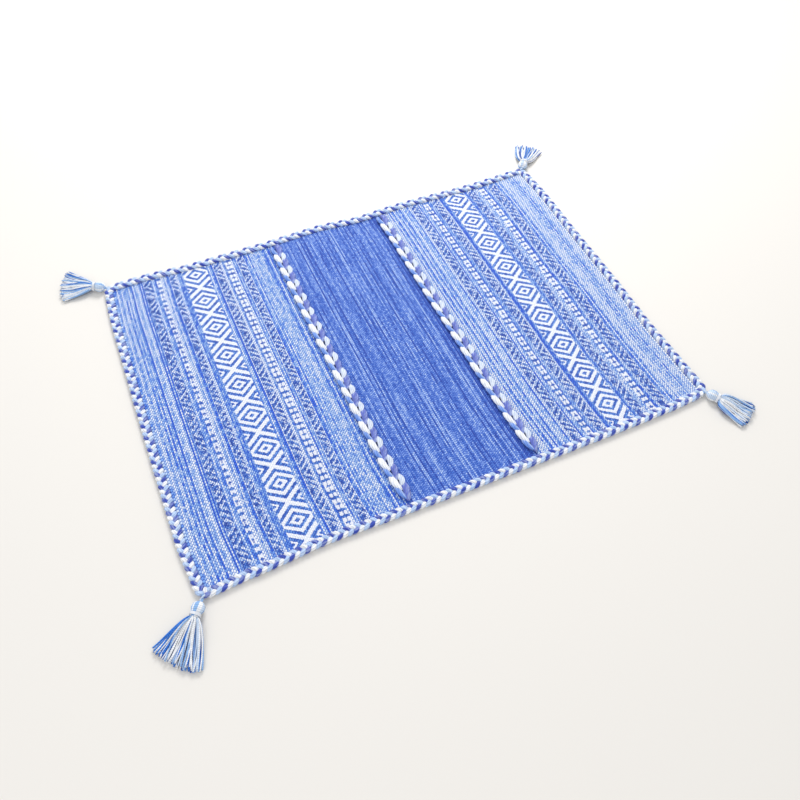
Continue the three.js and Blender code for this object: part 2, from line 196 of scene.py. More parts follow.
# start in mm, kind, paleness of the yarn: 0 deep blue, 1 nearly white, and more where a line is all white
BANDS = [
    (-CLOTH_END, PLAIN, 0.6), (-388.2, PLAIN, 0.1), (-385.3, PLAIN, 0.46), (-365.2, PLAIN, 0.98),
    (-362.2, PLAIN, 0.32), (-353.6, STROKES, 0.94), (-337.1, PLAIN, 0.95), (-334.6, PLAIN, 0.34),
    (-329.1, DOTTED, 0.4), (-321.7, PLAIN, 1.35), (-318.9, PLAIN, 0.66), (-310.1, PLAIN, 0.4),
    (-306.5, STROKES, 0.94), (-293.5, PLAIN, 0.95), (-291.0, PLAIN, 0.36), (-281.8, LOZENGE, 0.3),
    (-237.8, PLAIN, 0.9), (-232.9, PLAIN, 0.42), (-226.9, STROKES, 0.94), (-210.8, PLAIN, 0.9),
    (-208.3, PLAIN, 0.4), (-204.5, DOTTED, 0.4), (-192.3, PLAIN, 0.8), (-189.5, PLAIN, 0.42),
    (-182.7, STROKES, 0.94), (-167.7, PLAIN, 0.56), (-162.0, PLAIN, 0.72), (-147.0, PLAIN, 0.58),
    # the deep rows from -121 mm and from 84 mm, just left of each heart braid, are painted shadow of the
    # braids on the cloth
    (-121.0, PLAIN, 0.15), (LEFT_BRAID, DARK, 0.3), (84.0, DARK, 0.02), (RIGHT_BRAID, PLAIN, 0.6),
    (122.0, PLAIN, 0.64), (149.0, PLAIN, 0.95), (152.0, PLAIN, 0.56), (164.8, STROKES, 0.94),
    (182.0, PLAIN, 0.52), (191.5, DOTTED, 0.4), (202.2, PLAIN, 0.6), (208.7, STROKES, 0.94),
    (225.8, PLAIN, 0.66), (227.4, PLAIN, 0.26), (234.2, PLAIN, 0.7), (235.9, LOZENGE, 0.3),
    (277.9, PLAIN, 0.92), (280.4, PLAIN, 0.28), (284.8, STROKES, 0.94), (302.0, PLAIN, 0.85),
    (306.4, PLAIN, 0.5), (309.4, DOTTED, 0.4), (321.2, PLAIN, 0.4), (326.4, PLAIN, 0.55),
    (328.5, STROKES, 0.94), (346.9, PLAIN, 0.52), (357.5, PLAIN, 0.66), (CLOTH_END, PLAIN, 0.66),
]
ROW_PITCH = {PLAIN: 2.45, LOZENGE: 2.75, DOTTED: 2.2, STROKES: 2.4, DARK: 2.45}  # mm
REPEAT = 65.4  # from one lozenge to the next, in mm
REPEAT_AT = 12.3  # middle of one lozenge, in mm
print(len(BANDS) - 1, "bands,", sum(kind == LOZENGE for _, kind, _ in BANDS), "of them with lozenges")

# %% [markdown]
# ## The small figures as formulas
#
# A lozenge is a set of lines where the distance along the row plus three quarters of the distance across it
# is the same. Each figure gives one number: above zero the light yarn shows, below zero the dark one does.
# Because the number changes smoothly, the boundary stays sharp however coarse the mesh is. All distances
# are in mm.

# %% Figures of the woven bands
LOZENGE_LINES = np.array([3.7, 9.1, 14.6, 21.3, 27.4, 35.5, 42.0])  # where light and dark change
NO_FIGURE = 9.0  # the value where the weave is plain


def lozenge_figure(across, width, y):
    """Nested lozenges that meet in crosses, light and dark by turns."""
    along = abs((y - REPEAT_AT + REPEAT / 2) % REPEAT - REPEAT / 2)
    sideways = abs(across - width / 2)
    steps = along + 0.75 * sideways
    row = np.searchsorted(LOZENGE_LINES, steps)
    lines = np.concatenate([[-9.0], LOZENGE_LINES, [99.0]])  # with one line far out on each side
    nearest = np.minimum(steps - lines[row], lines[row + 1] - steps)
    notch = np.hypot(along - REPEAT / 2, 0.8 * (width / 2 - 1.0 - sideways)) - 2.4
    return np.minimum(np.where(row % 2 == 1, nearest, -nearest), notch)


def dotted_figure(across, width, y):
    """Light blocks in two columns, parted by two dark notches and then by one shorter dark bar."""
    along = abs((y - REPEAT_AT + REPEAT / 4) % (REPEAT / 2) - REPEAT / 4)
    sideways = abs(across - width / 2)
    notch = abs(along - REPEAT / 6) - 2.1 - np.maximum(0, 1.1 - 0.5 * sideways)
    bar = np.maximum(along - 1.5, sideways - 0.3 * width)
    edge = np.minimum(width / 2 - 0.4 - sideways, sideways - 0.5)
    return np.minimum(np.minimum(notch, bar), edge)


def strokes_figure(across, width, y):
    """Bent, uneven dark strokes that open round a small spot and close on a blob half a repeat further."""
    along = abs((y - REPEAT_AT + REPEAT / 2) % REPEAT - REPEAT / 2)
    uneven = 1.2 * np.sin(y / 4.1 + 0.9 * across) + 0.8 * np.sin(y / 9.7 - 1.3 * across)
    slant = along - 0.85 * across + 2.2 * np.sin(np.pi * across / width) + uneven
    stroke = abs((slant - 3.2 + REPEAT / 12) % (REPEAT / 6) - REPEAT / 12) - 3.0
    spot = np.hypot(along, 0.8 * (across - 0.62 * width)) - 2.0
    blob = np.maximum(26.0 - slant, 1.6 - across)
    marks = np.minimum(np.minimum(np.where(slant > 24.5, 2.0, stroke), spot), blob)
    edge = np.minimum(across, width - across) - 0.8
    return np.where(edge < 0, 1.0, marks)


FIGURES = {LOZENGE: lozenge_figure, DOTTED: dotted_figure, STROKES: strokes_figure}
print("figures for", len(FIGURES), "kinds of band, lozenges", REPEAT, "mm apart")

# %% [markdown]
# ## The cloth as real relief
#
# Each weft row stands up as a small ridge, the banded parts are thicker than the plain ones, and the light
# figures lie over the dark yarn. All of that is in the mesh, with two columns of points for each row of
# weft. The cloth is made in three lengths whose joins lie under the heart braids, where the eye never
# reaches.

# %% Columns of points along the rug
CLOTH_THICK = 3.0
CLOTH_INSET = 15.8  # from the rug's outer edge to the cloth's
CLOTH_HALF_WIDTH = WIDTH / 2 - CLOTH_INSET
POINTS_ACROSS = 350
SHORTEST = 0.5  # a length of band below this has no row of its own
TUCK, TUCK_HIGH = 4.2, 1.7  # how far the cloth's edge reaches under the plait, and its height there


def half_rows(start, end, first_row):
    """Places of the columns, their row numbers, and the band each strip between them belongs to."""
    places, numbers, strips = [start], [float(first_row)], []
    row = first_row
    for (left, kind, pale), (right, _, _) in zip(BANDS, BANDS[1:]):
        low, high = max(left, start), min(right, end)
        if high - low < SHORTEST:
            continue
        count = max(1, round((high - low) / ROW_PITCH[kind]))
        pitch = (high - low) / count
        for half in range(2 * count):
            middle = low - left + (half + 0.5) * pitch / 2
            strips.append((kind, pale, middle, right - left, row + half // 2))
            places.append(low + (half + 1) * pitch / 2)
            numbers.append(row + (half + 1) / 2)
        row += count
    return np.array(places), np.array(numbers), np.array(strips)


print("cloth", 2 * CLOTH_END, "by", round(2 * CLOTH_HALF_WIDTH, 1), "mm, and", TUCK, "mm under the plait")

# %% Height of the cloth's top
RIDGE = 0.28  # from the gap between two rows to a row's crest
BAND_RISE = 0.5
LIGHT_RISE = 0.22
STROKE_FALL = -1.6  # in the narrow bands the dark strokes stand higher instead, by this share
SWELL = 0.35  # how far the laid cloth rises and falls
EDGE_RISE, EDGE_WIDE = 0.9, 3  # where the plait's stitches pull the cloth up against it


def figure_of(kind, across, width, y):
    """The figure's value for every point, and a large one where the weave is plain."""
    value = np.full(np.broadcast_shapes(across.shape, y.shape), NO_FIGURE)
    for which, figure in FIGURES.items():
        here = np.flatnonzero(kind == which)
        if len(here):
            value[:, here] = figure(across[:, here], width[:, here], y)
    return value


def top_height(columns, numbers, strips, y):
    """Height above the floor, in mm, of every point of the top."""
    last = len(strips) - 1
    strip = strips[np.minimum(np.arange(len(columns)), last)]
    kind, width = strip[:, 0], strip[None, :, 3]
    across = strip[None, :, 2]
    window = np.clip(np.minimum(across, width - across) / 2, 0, 1)
    banded = np.isin(kind, (LOZENGE, DOTTED, STROKES))[None, :]
    figure = figure_of(kind, across, width, y)
    light = np.clip(figure, -1, 1) * np.where(kind == STROKES, STROKE_FALL, 1.0)[None, :]
    ridge = RIDGE * (abs(np.sin(np.pi * numbers)) - 0.5)[None, :]
    x = columns[None, :]
    swell = SWELL * np.sin(x / 37 + 1.3 * np.sin(y / 83)) * np.sin(y / 61 + 0.7)
    from_edge = np.minimum(CLOTH_HALF_WIDTH - abs(y), CLOTH_END - abs(x))
    swell = swell + EDGE_RISE * np.clip(1 - from_edge / EDGE_WIDE, 0, 1)
    return CLOTH_THICK + ridge + swell + banded * window * (BAND_RISE + LIGHT_RISE * light)


# %% Values that the cloth's material reads
SAW = 0.3  # mm by which a figure's edge steps to and fro from row to row


def cloth_corner_values(walls, strips_below, ends_below, numbers, strips, y_line, wide):
    """Per face corner: weave is (row number, mm along the row, 0), band is (kind, figure, paleness)."""
    deep = len(y_line)
    saw = np.where(strips[:, 4] % 2 == 1, SAW, -SAW)
    corner_y = np.stack([y_line[:-1], y_line[:-1], y_line[1:], y_line[1:]], axis=-1)[:, None, :]
    corner_row = np.stack([numbers[:-1], numbers[1:], numbers[1:], numbers[:-1]], axis=-1)[None]
    shape = (deep - 1, wide - 1, 4)
    weave = np.zeros((*shape, 3))
    weave[..., 0], weave[..., 1] = np.broadcast_to(corner_row, shape), np.broadcast_to(corner_y, shape)
    band = np.zeros((*shape, 3))
    band[..., 0], band[..., 2] = strips[None, :, 0, None], strips[None, :, 1, None]
    for side in range(4):
        y = corner_y[:, :, side] + saw[None, :]
        band[..., side, 1] = NO_FIGURE
        for which, figure in FIGURES.items():
            here = np.flatnonzero(strips[:, 0] == which)
            if len(here):
                value = figure(strips[None, here, 2], strips[None, here, 3], y[:, here])
                band[:, here, side, 1] = value
    rest = np.concatenate([walls.ravel(), strips_below.ravel(), *[np.array(face) for face in ends_below]])
    return finish_corner_values(weave, band, rest, numbers, strips, y_line, wide)


def finish_corner_values(weave, band, rest, numbers, strips, y_line, wide):
    """Adds the walls and the underside, which have plain values of their nearest strip."""
    size = wide * len(y_line)
    back = np.concatenate([np.arange(wide), np.arange(1, len(y_line)) * wide + wide - 1])
    back = np.concatenate([back, (len(y_line) - 1) * wide + np.arange(wide - 2, -1, -1)])
    back = np.concatenate([back, np.arange(len(y_line) - 2, 0, -1) * wide])
    top_index = np.where(rest < size, rest, back[np.maximum(rest - size, 0)])
    row, column = np.divmod(top_index, wide)
    strip = strips[np.minimum(column, len(strips) - 1)]
    more_weave = np.stack([numbers[column], y_line[row], 0 * row], axis=-1)
    plain_kind = np.where(strip[:, 0] == DARK, DARK, PLAIN)
    more_band = np.stack([plain_kind, NO_FIGURE + 0 * row, strip[:, 1]], axis=-1)
    weave = np.concatenate([weave.reshape(-1, 3), more_weave])
    return weave, np.concatenate([band.reshape(-1, 3), more_band])


# %% One length of the cloth
def cloth_length(name, start, end, first_row, material):
    """A closed sheet: a fine grid on top, long faces below, and walls between them."""
    columns, numbers, strips = half_rows(start, end, first_row)
    wide, deep = len(columns), POINTS_ACROSS
    y_line = np.linspace(-CLOTH_HALF_WIDTH, CLOTH_HALF_WIDTH, deep - 2)
    y_line = np.concatenate([[y_line[0] - TUCK], y_line, [y_line[-1] + TUCK]])
    at_left, at_right = start <= -CLOTH_END, end >= CLOTH_END
    columns[[0, -1]] += [-TUCK * at_left, TUCK * at_right]
    x, y = np.meshgrid(columns, y_line)
    laid_x, laid_y = lay(x, y)
    z = top_height(columns, numbers, strips, y_line[:, None])
    z[0] = z[-1] = TUCK_HIGH
    z[:, 0] = TUCK_HIGH if at_left else z[:, 0]
    z[:, -1] = TUCK_HIGH if at_right else z[:, -1]
    top = np.stack([laid_x, laid_y, z], axis=-1).reshape(-1, 3)

    index = np.arange(wide * deep).reshape(deep, wide)
    grid = np.stack([index[:-1, :-1], index[:-1, 1:], index[1:, 1:], index[1:, :-1]], axis=-1)
    rim = np.concatenate([index[0, :-1], index[:-1, -1], index[-1, :0:-1], index[:0:-1, 0]])
    under = np.full(wide * deep, -1)
    under[rim] = wide * deep + np.arange(len(rim))
    bottom = top[rim] * [1, 1, 0]
    after = np.roll(rim, -1)
    walls = np.stack([rim, under[rim], under[after], after], axis=-1)
    inner = np.arange(1, wide - 2)
    strips_below = [index[0, inner], index[-1, inner], index[-1, inner + 1], index[0, inner + 1]]
    strips_below = np.stack(strips_below, axis=-1)
    ends_below = [
        [*under[index[:, 0]], under[index[-1, 1]], under[index[0, 1]]],
        [*under[index[::-1, -1]], under[index[0, -2]], under[index[-1, -2]]],
    ]
    faces = [*grid.reshape(-1, 4).tolist(), *walls.tolist(), *under[strips_below].tolist()]
    faces += [[int(i) for i in face] for face in ends_below]

    weave, band = cloth_corner_values(walls, strips_below, ends_below, numbers, strips, y_line, wide)
    piece = new_piece(
        name, np.concatenate([top, bottom]), faces, {"weave": weave, "band": band},
        material, ["rug_cloth"],
    )
    print("  ", wide, "columns for", int(numbers[-1] - numbers[0]), "rows of weft")
    return piece


# %% [markdown]
# ## Woven cotton: the beads of the weft
#
# Soft-spun cotton, dyed in uneven lots and beaten down tightly. Each row is a chain of beads where the weft
# dives under the next warp. The next row's beads sit a third of a bead further on, which gives the fine
# slanting grain. As bumps in the mesh they would take millions of faces, so nodes draw them from the row
# numbers in the mesh, and they follow the cloth where it leans.

# %% Beads
BEAD = (5.0, 3.6)  # mm from bead to bead along a row: in the pale cloth, in the dark panel
ROW_OFFSET = (0.25, 1.0)  # share of a bead by which each row is set off by chance, likewise
NEXT_ROW = 0.3  # share of a bead by which the next row is set off
SLANT = 0.2  # how much each bead leans over the width of its row


def by_kind(tree, is_dark, values):
    """The first value in the pale cloth, the second in the dark panel."""
    value, dark_value = values
    inputs = {0: is_dark, 1: dark_value - value, 2: value}
    return node(tree, "ShaderNodeMath", inputs, operation="MULTIPLY_ADD")


def weft_beads(tree, row_place, y, is_dark):
    """Row and bead number, a random number for the row, and how full the bead is across and along."""
    row = node(tree, "ShaderNodeMath", {0: row_place}, operation="FLOOR")
    each_row = node(tree, "ShaderNodeTexWhiteNoise", {"W": row}, noise_dimensions="1D").outputs["Value"]
    beads = node(tree, "ShaderNodeMath", {0: y, 1: by_kind(tree, is_dark, BEAD)}, operation="DIVIDE")
    offsets = ((row_place, -SLANT), (row, -NEXT_ROW), (each_row, by_kind(tree, is_dark, ROW_OFFSET)))
    for part, share in offsets:
        beads = node(tree, "ShaderNodeMath", {0: part, 1: share, 2: beads}, operation="MULTIPLY_ADD")
    bead = node(tree, "ShaderNodeMath", {0: beads}, operation="FLOOR")
    across = node(tree, "ShaderNodeMath", {0: row_place, 1: 0.5}, operation="PINGPONG")
    across = node(tree, "ShaderNodeMapRange", {0: across, 2: 0.4}, interpolation_type="SMOOTHSTEP")
    along = node(tree, "ShaderNodeMath", {0: beads, 1: 0.5}, operation="PINGPONG")
    along = node(tree, "ShaderNodeMapRange", {0: along, 2: 0.3}, interpolation_type="SMOOTHSTEP")
    return row, bead, each_row, across, along


# %% [markdown]
# ## Woven cotton: the dye
#
# The dye changes from row to row, slowly along a yarn, and a little from bead to bead, which gives long
# streaks. Two pale rows and a deep one take turns. In the dark panel the streaks are shorter and softer. A
# painted image would fix their size, so each cause is a small noise with its own share in the shade.

# %% Shade of the yarn
# share of each cause in the shade: in the pale cloth, in the dark panel
ROW_SHARE = (0.76, 0.54)
DRIFT_SHARE = (0.7, 1.3)
BEAD_SHARE = (0.66, 0.55)
TURN_SHARE = 0.34
DRIFT_PER_MM = (0.004, 0.011)
DRIFT_PER_ROW = 1.37
SHADE_LEVEL = 1.24  # what these causes add up to on average


def yarn_shade(tree, pale, is_dark, row, y, each_row, each):
    """Place on the yarn's colour ramp, from 0 deep to 1 pale."""
    drift_x = node(tree, "ShaderNodeMath", {0: row, 1: DRIFT_PER_ROW}, operation="MULTIPLY")
    drift_per_mm = by_kind(tree, is_dark, DRIFT_PER_MM)
    drift_y = node(tree, "ShaderNodeMath", {0: y, 1: drift_per_mm}, operation="MULTIPLY")
    drift_at = node(tree, "ShaderNodeCombineXYZ", {0: drift_x, 1: drift_y})
    drift = node(tree, "ShaderNodeTexNoise", {"Vector": drift_at, "Scale": 1, "Detail": 1})
    turns = node(tree, "ShaderNodeMath", {0: row, 1: 1.5}, operation="PINGPONG")
    shade = node(tree, "ShaderNodeMath", {0: turns, 1: TURN_SHARE, 2: pale}, operation="MULTIPLY_ADD")
    for part, shares in ((each_row, ROW_SHARE), (drift, DRIFT_SHARE), (each, BEAD_SHARE)):
        inputs = {0: part, 1: by_kind(tree, is_dark, shares), 2: shade}
        shade = node(tree, "ShaderNodeMath", inputs, operation="MULTIPLY_ADD")
    return node(tree, "ShaderNodeMath", {0: shade, 1: SHADE_LEVEL}, operation="SUBTRACT")


# %% Colours of the yarns
PLAIN_YARN = [(0.0, "2A68DC"), (0.22, "568EE4"), (0.45, "90B8EE"), (0.7, "C8DEF5"), (1.0, "F8FBFC")]
DARK_YARN = [(0.0, "2454B8"), (0.25, "3C74D2"), (0.5, "648EE0"), (0.75, "8FB2F0"), (1.0, "BED6FA")]
FIGURE_YARN = [(0.0, "2450AC"), (0.5, "3A6EC8"), (1.0, "6C9EE2")]
WHITE_YARN = "FFFEFC"
# painted shade between the beads: the deep blue that the gaps are darkened towards, and how much less of it
# falls where white yarn lies close
GAP_SHADE_COLOUR = "5078C6"
WHITE_EASES_GAP_SHADE = 0.72  # how much of the gaps white yarn hides


def woven_colour(tree, kind, figure, shade, each, is_dark, across, along):
    """Light and dark yarn of the figures, and plain yarn elsewhere, with painted deep-blue shade between the
    beads.
    """
    # light yarn is white in lozenges and dots, where the dark yarn is a little paler
    either = {0: kind, 1: (LOZENGE + DOTTED) / 2, 2: 0.7}
    is_white = node(tree, "ShaderNodeMath", either, operation="COMPARE")
    figured = node(tree, "ShaderNodeMath", {0: is_white, 1: 0.3, 2: each}, operation="MULTIPLY_ADD")
    figured = fill_ramp(node(tree, "ShaderNodeValToRGB", {0: figured}), FIGURE_YARN)
    plain = fill_ramp(node(tree, "ShaderNodeValToRGB", {0: shade}), PLAIN_YARN)
    dark = fill_ramp(node(tree, "ShaderNodeValToRGB", {0: shade}), DARK_YARN)
    ground = node(tree, "ShaderNodeMix", {0: is_dark, 6: plain, 7: dark}, data_type="RGBA").outputs[2]
    light = {0: is_white, 6: ground, 7: linear(WHITE_YARN)}
    light = node(tree, "ShaderNodeMix", light, data_type="RGBA").outputs[2]
    ragged = node(tree, "ShaderNodeMath", {0: each, 1: 0.5, 2: figure}, operation="MULTIPLY_ADD")
    shows = node(tree, "ShaderNodeMapRange", {0: ragged, 1: -0.05, 2: 0.55})
    colour = node(tree, "ShaderNodeMix", {0: shows, 6: figured, 7: light}, data_type="RGBA").outputs[2]

    # painted shade: between the beads the colour is darkened towards deep blue, less where white yarn lies
    # close
    white_here = node(tree, "ShaderNodeMath", {0: is_white, 1: shows}, operation="MULTIPLY")
    unshaded = node(tree, "ShaderNodeMath", {0: white_here, 1: WHITE_EASES_GAP_SHADE}, operation="MULTIPLY")
    rounded = node(tree, "ShaderNodeMapRange", {0: across, 3: 0.4, 4: 1.0})
    bulge = node(tree, "ShaderNodeMath", {0: rounded, 1: along}, operation="MULTIPLY")
    unshaded = node(tree, "ShaderNodeMath", {0: unshaded, 1: bulge}, operation="MAXIMUM")
    gap_shade = {0: unshaded, 6: linear(GAP_SHADE_COLOUR), 7: linear("FFFFFF")}
    gap_shade = node(tree, "ShaderNodeMix", gap_shade, data_type="RGBA").outputs[2]
    return node(tree, "ShaderNodeVectorMath", {0: colour, 1: gap_shade}, operation="MULTIPLY").outputs[0]


# %% [markdown]
# ## Woven cotton: the material
#
# The cloth is matt, with a faint halo of loose fibre and hardly any gloss. The beads and their fibres,
# which are about 0.4 mm thick, are too small for the mesh, so they are relief in the material.

# %% The woven cotton material
def woven_cotton():
    material, tree, shader = cotton_material("woven_cotton_weft", 0.92, 0.25, 0.6)
    weave = node(tree, "ShaderNodeAttribute", attribute_name="weave").outputs["Vector"]
    band = node(tree, "ShaderNodeAttribute", attribute_name="band").outputs["Vector"]
    row_place, y, _ = node(tree, "ShaderNodeSeparateXYZ", {0: weave}).outputs
    kind, figure, pale = node(tree, "ShaderNodeSeparateXYZ", {0: band}).outputs
    is_dark = node(tree, "ShaderNodeMath", {0: kind, 1: DARK - 0.5}, operation="GREATER_THAN")
    row, bead, each_row, across, along = weft_beads(tree, row_place, y, is_dark)
    each = node(tree, "ShaderNodeCombineXYZ", {0: row, 1: bead})
    each = node(tree, "ShaderNodeTexWhiteNoise", {"Vector": each}, noise_dimensions="2D").outputs["Value"]
    shade = yarn_shade(tree, pale, is_dark, row, y, each_row, each)
    colour = woven_colour(tree, kind, figure, shade, each, is_dark, across, along)
    tree.links.new(colour, shader.inputs["Base Color"])

    fibre = node(tree, "ShaderNodeTexNoise", {"Vector": weave, "Scale": 2.4, "Detail": 3})
    bulge = node(tree, "ShaderNodeMath", {0: across, 1: along}, operation="MULTIPLY")
    relief = node(tree, "ShaderNodeMath", {0: fibre, 1: 0.3, 2: bulge}, operation="MULTIPLY_ADD")
    bump = node(tree, "ShaderNodeBump", {"Strength": 0.75, "Distance": 0.0007, "Height": relief})
    tree.links.new(bump.outputs[0], shader.inputs["Normal"])
    print("material", material.name, "has", len(tree.nodes), "nodes")
    return material


# %% Weave the three lengths
weft = woven_cotton()
# the last number is the first row's, so that no two rows share one
cloth_length("cloth_left", -CLOTH_END, LEFT_BRAID, 0, weft)
cloth_length("cloth_middle", LEFT_BRAID, RIGHT_BRAID, 200, weft)
cloth_length("cloth_right", RIGHT_BRAID, CLOTH_END, 400, weft)

# %% [markdown]
# ## Yarn as a closed tube
#
# Plait, braids, tassels and ties are all yarn. A curve with a bevel could make them, but their thickness
# changes along the way and their plies show as grooves, so each is a closed tube built ring by ring. Rings
# stay level sideways, and the groove between two plies turns slowly round the tube.

# %% Tube and joining
UP = np.array([0.0, 0.0, 1.0])


def tube(path, wide, high, sides, kind, plies=0, groove=0.0, lay_length=40.0):
    """A closed tube's points, faces and yarn values, which are (colour, mm along, turn around).

    wide and high are its half sizes in mm, and lay_length is the length of one turn of its plies.
    """
    path = np.asarray(path, float)
    count = len(path)
    wide, high = np.broadcast_to(wide, count), np.broadcast_to(high, count)
    tangent = np.gradient(path, axis=0)
    tangent /= np.linalg.norm(tangent, axis=1, keepdims=True)
    side = np.cross(tangent, UP)
    side /= np.linalg.norm(side, axis=1, keepdims=True)
    over = np.cross(side, tangent)
    along = np.concatenate([[0], np.cumsum(np.linalg.norm(np.diff(path, axis=0), axis=1))])
    turn = np.arange(sides) / sides
    angle = 2 * np.pi * turn[None, :]
    twist = 2 * np.pi * along[:, None] / lay_length
    ply = 1 - groove * (0.5 - 0.5 * np.cos(plies * (angle + twist)))
    out_side = (wide[:, None] * np.cos(angle) * ply)[..., None] * side[:, None]
    out_over = (high[:, None] * np.sin(angle) * ply)[..., None] * over[:, None]
    points = (path[:, None] + out_side + out_over).reshape(-1, 3)

    ring, which = np.meshgrid(np.arange(count - 1), np.arange(sides), indexing="ij")
    after = (which + 1) % sides
    a, b = ring * sides + which, ring * sides + after
    quads = np.stack([a, a + sides, b + sides, b], axis=-1).reshape(-1, 4)
    kinds = np.broadcast_to(kind, sides)[which]
    here, there = which / sides, (which + 1) / sides
    corners = [
        np.stack([kinds, along[ring + up], place], axis=-1)
        for up, place in ((0, here), (1, here), (1, there), (0, there))
    ]
    values = np.stack(corners, axis=2).reshape(-1, 3)
    caps = [list(range(sides)), list(range(count * sides - 1, (count - 1) * sides - 1, -1))]
    cap_values = np.array([[np.broadcast_to(kind, sides)[0], along[i], 0.5] for i in (0, -1) for _ in turn])
    return points, quads, values, caps, cap_values


def joined(tubes):
    """Several tubes as one set of points, faces and yarn values."""
    points, faces, caps, values, cap_values, base = [], [], [], [], [], 0
    for tube_points, quads, tube_values, tube_caps, tube_cap_values in tubes:
        points.append(tube_points)
        faces += (quads + base).tolist()
        caps += [[i + base for i in cap] for cap in tube_caps]
        values.append(tube_values)
        cap_values.append(tube_cap_values)
        base += len(tube_points)
    return np.concatenate(points), faces + caps, {"yarn": np.concatenate(values + cap_values)}


# %% [markdown]
# ## Cotton yarn
#
# The yarns are loosely spun cotton, thicker than the weft. They are matt and a little fuzzy, and each one
# is twisted from plies that show as fine slanting lines. One recipe makes all of them: only the dye colours
# and the length of one twist differ.

# %% The cotton yarn material
def cotton_yarn(name, colours, plies, twist_mm, depth_mm, streak="FFFFFF", streaks=0.0):
    material, tree, shader = cotton_material(name, 0.9, 0.3, 0.5)
    yarn = node(tree, "ShaderNodeAttribute", attribute_name="yarn").outputs["Vector"]
    kind, along, around = node(tree, "ShaderNodeSeparateXYZ", {0: yarn}).outputs
    which = node(tree, "ShaderNodeMath", {0: kind, 1: 0.5}, operation="ADD")
    which = node(tree, "ShaderNodeMath", {0: which, 1: float(len(colours))}, operation="DIVIDE")
    stops = [(i / len(colours), colour) for i, colour in enumerate(colours)]
    dye = fill_ramp(node(tree, "ShaderNodeValToRGB", {0: which}), stops, "CONSTANT")

    # plies: slanting lines, one turn in each twist length
    twist = node(tree, "ShaderNodeMath", {0: along, 1: 1 / twist_mm}, operation="MULTIPLY")
    turn = node(tree, "ShaderNodeMath", {0: around, 1: twist}, operation="ADD")
    turn = node(tree, "ShaderNodeMath", {0: turn, 1: float(plies)}, operation="MULTIPLY")
    ply = node(tree, "ShaderNodeMath", {0: turn, 1: 0.5}, operation="PINGPONG")
    ply = node(tree, "ShaderNodeMapRange", {0: ply, 2: 0.3}, interpolation_type="SMOOTHSTEP")

    # streaks: fibres of another shade that run along the yarn for a centimetre or so
    streak_at = node(tree, "ShaderNodeCombineXYZ", {0: along, 1: turn, 2: kind})
    stretch = {0: streak_at, 1: (0.09, 1.3, 7.7)}
    streak_at = node(tree, "ShaderNodeVectorMath", stretch, operation="MULTIPLY")
    fibres = node(tree, "ShaderNodeTexNoise", {"Vector": streak_at, "Scale": 1, "Detail": 2})
    fibres = node(tree, "ShaderNodeMapRange", {0: fibres, 1: 0.48, 2: 0.62, 4: streaks})
    dyed = {0: fibres, 6: dye, 7: linear(streak)}
    dye = node(tree, "ShaderNodeMix", dyed, data_type="RGBA").outputs[2]

    # mottled dye every few millimetres, painted shade in the grooves between the plies, and fibres of about
    # 0.3 mm
    place = node(tree, "ShaderNodeNewGeometry").outputs["Position"]
    mottle = node(tree, "ShaderNodeTexNoise", {"Vector": place, "Scale": 140.0, "Detail": 2})
    fine = node(tree, "ShaderNodeTexNoise", {"Vector": place, "Scale": 2600.0, "Detail": 2})
    shade = node(tree, "ShaderNodeMapRange", {0: mottle, 1: 0.3, 2: 0.7, 3: 0.86, 4: 1.04})
    # painted shade: the colour darkens by up to a fifth in the grooves between the plies
    groove = node(tree, "ShaderNodeMapRange", {0: ply, 3: 0.8, 4: 1.0})
    shade = node(tree, "ShaderNodeMath", {0: shade, 1: groove}, operation="MULTIPLY")
    colour = node(tree, "ShaderNodeVectorMath", {0: dye, 1: shade}, operation="MULTIPLY").outputs[0]
    tree.links.new(colour, shader.inputs["Base Color"])

    relief = node(tree, "ShaderNodeMath", {0: fine, 1: 0.35, 2: ply}, operation="MULTIPLY_ADD")
    bump = node(tree, "ShaderNodeBump", {"Strength": 0.8, "Distance": depth_mm / 1000, "Height": relief})
    tree.links.new(bump.outputs[0], shader.inputs["Normal"])
    print("material", material.name, "has", len(tree.nodes), "nodes")
    return material


# %% [markdown]
# ## The border plait
#
# Three strands of thick yarn, white, lilac-blue and pale blue, cross over each other along the edge. On a
# plait each strand swings from side to side once per cycle and rises and falls twice. That is two sine
# waves, so the strands are computed, not braided by hand, and they run on round the corners.

# %% The border's middle line
PLAIT_WIDTH, PLAIT_HEIGHT = 15.5, 9.0
CORNER_RADIUS = 13.0  # of the plait's middle line
QUARTER_ARC = np.pi / 2 * CORNER_RADIUS
PLAIT_HALF_LENGTH = LENGTH / 2 - PLAIT_WIDTH / 2
PLAIT_HALF_WIDTH = WIDTH / 2 - PLAIT_WIDTH / 2


def border_line(half_run, half_across, quarters, along):
    """Point and outward direction at distances along one side, past its ends on the round corners."""
    straight = 2 * (half_run - CORNER_RADIUS)
    bend = (np.minimum(along, 0) + np.maximum(along - straight, 0)) / CORNER_RADIUS
    outward = np.stack([np.sin(bend), -np.cos(bend)], axis=-1)
    run = np.clip(along, 0, straight) - straight / 2
    point = np.stack([run, np.full_like(run, -(half_across - CORNER_RADIUS))], axis=-1)
    point += CORNER_RADIUS * outward
    cos, sin = np.cos(quarters * np.pi / 2), np.sin(quarters * np.pi / 2)
    turn = np.array([[cos, sin], [-sin, cos]])
    return point @ turn, outward @ turn


print("middle line of the plait:", 2 * PLAIT_HALF_LENGTH, "by", 2 * PLAIT_HALF_WIDTH, "mm")


# %% The four lengths of plait
STRAND_WIDE, STRAND_HIGH = 3.4, 2.75
SWING = PLAIT_WIDTH / 2 - STRAND_WIDE
WAVE = PLAIT_HEIGHT / 2 - STRAND_HIGH - 0.05
PLAIT_STEP = 1.5
PLAIT_GAP = 0.05  # half the gap between two lengths
ABOVE_FLOOR = 0.05  # yarn that rests on the floor is pressed flat at this height


